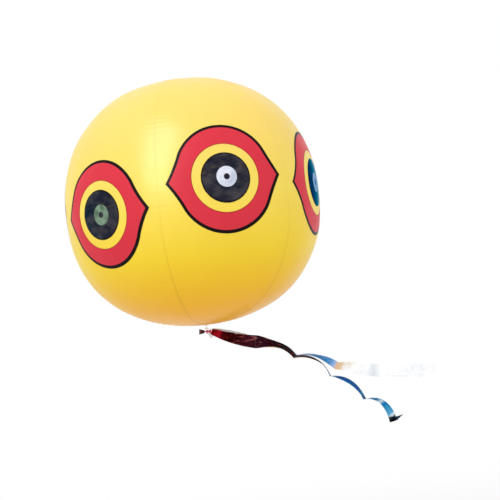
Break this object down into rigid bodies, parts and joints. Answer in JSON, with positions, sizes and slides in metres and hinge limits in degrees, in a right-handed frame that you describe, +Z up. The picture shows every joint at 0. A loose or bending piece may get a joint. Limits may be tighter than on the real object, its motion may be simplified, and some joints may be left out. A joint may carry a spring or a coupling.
{
  "type": "bird scare balloon",
  "caption": "Inflatable yellow vinyl ball with predator eyes and mirror discs all round, a hanging tab, a plug valve and two creased metallised film streamers knotted below.",
  "frame": {"origin": "on the ball's vertical axis, at the crease where the hanging tab folds at the top of the ball", "axes": "+Z up along the ball's axis; the front eye faces -Y; the streamers blow towards +X, turned 15.4 degrees towards -Y"},
  "size_m": [0.8195, 0.6038, 0.8718],
  "materials": {
    "yellow_vinyl": "glossy soft vinyl",
    "red_print": "glossy print",
    "black_print": "glossy print",
    "black_mirror": "dark mirror film",
    "iris_foil": "silver foil",
    "clear_vinyl": "translucent vinyl",
    "nickel_plate": "nickel plated",
    "dark_film": "metallised film",
    "silver_film": "metallised film"
  },
  "bodies": {
    "ball": {"front_panel": "yellow_vinyl", "front_eye_field": "red_print", "front_eye_outline": "black_print", "front_mirror_disc": "black_mirror", "front_iris": "iris_foil", "front_right_panel": "yellow_vinyl", "front_right_eye_field": "red_print", "front_right_eye_outline": "black_print", "front_right_mirror_disc": "black_mirror", "front_right_iris": "iris_foil", "back_right_panel": "yellow_vinyl", "back_right_eye_field": "red_print", "back_right_eye_outline": "black_print", "back_right_mirror_disc": "black_mirror", "back_right_iris": "iris_foil", "back_panel": "yellow_vinyl", "back_eye_field": "red_print", "back_eye_outline": "black_print", "back_mirror_disc": "black_mirror", "back_iris": "iris_foil", "back_left_panel": "yellow_vinyl", "back_left_eye_field": "red_print", "back_left_eye_outline": "black_print", "back_left_mirror_disc": "black_mirror", "back_left_iris": "iris_foil", "front_left_panel": "yellow_vinyl", "front_left_eye_field": "red_print", "front_left_eye_outline": "black_print", "front_left_mirror_disc": "black_mirror", "front_left_iris": "iris_foil", "top_cap": "yellow_vinyl", "bottom_cap": "yellow_vinyl", "valve_flange": "clear_vinyl", "hang_tab_foot": "clear_vinyl", "streamer_tab_foot": "clear_vinyl"},
    "hang_tab": {"hang_tab": "clear_vinyl", "hang_eyelet": "nickel_plate", "hang_eyelet_washer": "nickel_plate"},
    "valve_stem": {"valve_stem": "clear_vinyl", "plug_strap": "clear_vinyl"},
    "valve_plug": {"valve_plug": "clear_vinyl"},
    "valve_check_flap": {"valve_check_flap": "clear_vinyl"},
    "streamer_tab": {"streamer_tab": "clear_vinyl", "streamer_knot": "dark_film", "dark_streamer_short_end": "dark_film", "silver_streamer_short_end": "silver_film"},
    "dark_fold_1": {"dark_streamer_fold_1": "dark_film"},
    "dark_fold_2": {"dark_streamer_fold_2": "dark_film"},
    "dark_fold_3": {"dark_streamer_fold_3": "dark_film"},
    "dark_fold_4": {"dark_streamer_fold_4": "dark_film"},
    "dark_fold_5": {"dark_streamer_fold_5": "dark_film"},
    "dark_end": {"dark_streamer_end": "dark_film"},
    "silver_fold_1": {"silver_streamer_fold_1": "silver_film"},
    "silver_fold_2": {"silver_streamer_fold_2": "silver_film"},
    "silver_fold_3": {"silver_streamer_fold_3": "silver_film"},
    "silver_fold_4": {"silver_streamer_fold_4": "silver_film"},
    "silver_fold_5": {"silver_streamer_fold_5": "silver_film"},
    "silver_end": {"silver_streamer_end": "silver_film"}
  },
  "joints": [
    {"name": "hang_tab_fold", "type": "hinge", "parent": "ball", "child": "hang_tab", "pos_m": [0, 0, 0], "axis": [1, 0, 0], "range_deg": [0, 164]},
    {"name": "valve_push", "type": "slide", "parent": "ball", "child": "valve_stem", "axis": [-0.0255, 0.4807, 0.8765], "range_m": [-0.008, 0]},
    {"name": "plug_pull", "type": "slide", "parent": "valve_stem", "child": "valve_plug", "axis": [-0.0255, 0.4807, 0.8765], "range_m": [0, 0.012], "deforming": ["plug_strap"]},
    {"name": "check_flap_hinge", "type": "hinge", "parent": "valve_stem", "child": "valve_check_flap", "pos_m": [-0.01853, 0.15613, -0.04392], "axis": [-0.0751, 0.8734, -0.4812], "range_deg": [0, 50], "stiffness_Nm_per_rad": 0.00001, "springref_deg": -17.19},
    {"name": "streamer_tab_twist", "type": "hinge", "parent": "ball", "child": "streamer_tab", "pos_m": [0, 0, -0.59365], "axis": [0, 0, 1], "range_deg": [-90, 90]},
    {"name": "dark_streamer_swing", "type": "hinge", "parent": "streamer_tab", "child": "dark_fold_1", "pos_m": [0.00796, -0.00686, -0.60845], "axis": [0.2656, 0.9641, 0], "range_deg": [-15, 65]},
    {"name": "dark_crease_1", "type": "hinge", "parent": "dark_fold_1", "child": "dark_fold_2", "pos_m": [0.10506, -0.04208, -0.6451], "axis": [-0.1085, 0.2456, -0.9633], "range_deg": [-6, 20]},
    {"name": "dark_crease_2", "type": "hinge", "parent": "dark_fold_2", "child": "dark_fold_3", "pos_m": [0.18864, -0.0735, -0.69069], "axis": [0.0804, 0.9698, -0.2304], "range_deg": [-6, 25]},
    {"name": "dark_crease_3", "type": "hinge", "parent": "dark_fold_3", "child": "dark_fold_4", "pos_m": [0.26328, -0.09645, -0.74516], "axis": [0.4264, 0.904, -0.0302], "range_deg": [-15, 25]},
    {"name": "dark_crease_4", "type": "hinge", "parent": "dark_fold_4", "child": "dark_fold_5", "pos_m": [0.32913, -0.13549, -0.80803], "axis": [0.546, 0.8361, -0.0537], "range_deg": [-15, 25]},
    {"name": "dark_end_crease", "type": "hinge", "parent": "dark_fold_5", "child": "dark_end", "pos_m": [0.38252, -0.16466, -0.86155], "axis": [0.7482, 0.5767, 0.328], "range_deg": [-15, 25]},
    {"name": "silver_streamer_swing", "type": "hinge", "parent": "streamer_tab", "child": "silver_fold_1", "pos_m": [0.01035, 0.00182, -0.60845], "axis": [0.2656, 0.9641, 0], "range_deg": [-15, 70]},
    {"name": "silver_crease_1", "type": "hinge", "parent": "silver_fold_1", "child": "silver_fold_2", "pos_m": [0.11943, 0.00222, -0.64751], "axis": [0.3494, 0.5705, 0.7433], "range_deg": [-12, 20]},
    {"name": "silver_crease_2", "type": "hinge", "parent": "silver_fold_2", "child": "silver_fold_3", "pos_m": [0.20725, -0.02933, -0.68998], "axis": [0.4572, 0.8887, 0.0361], "range_deg": [-15, 9]},
    {"name": "silver_crease_3", "type": "hinge", "parent": "silver_fold_3", "child": "silver_fold_4", "pos_m": [0.29231, -0.07023, -0.72489], "axis": [0.5866, 0.6776, 0.4436], "range_deg": [-15, 25]},
    {"name": "silver_crease_4", "type": "hinge", "parent": "silver_fold_4", "child": "silver_fold_5", "pos_m": [0.3859, -0.10718, -0.74574], "axis": [0.128, 0.0732, 0.9891], "range_deg": [-15, 25]},
    {"name": "silver_end_crease", "type": "hinge", "parent": "silver_fold_5", "child": "silver_end", "pos_m": [0.48582, -0.13449, -0.75824], "axis": [0.1434, -0.0033, 0.9897], "range_deg": [-15, 25]}
  ]
}
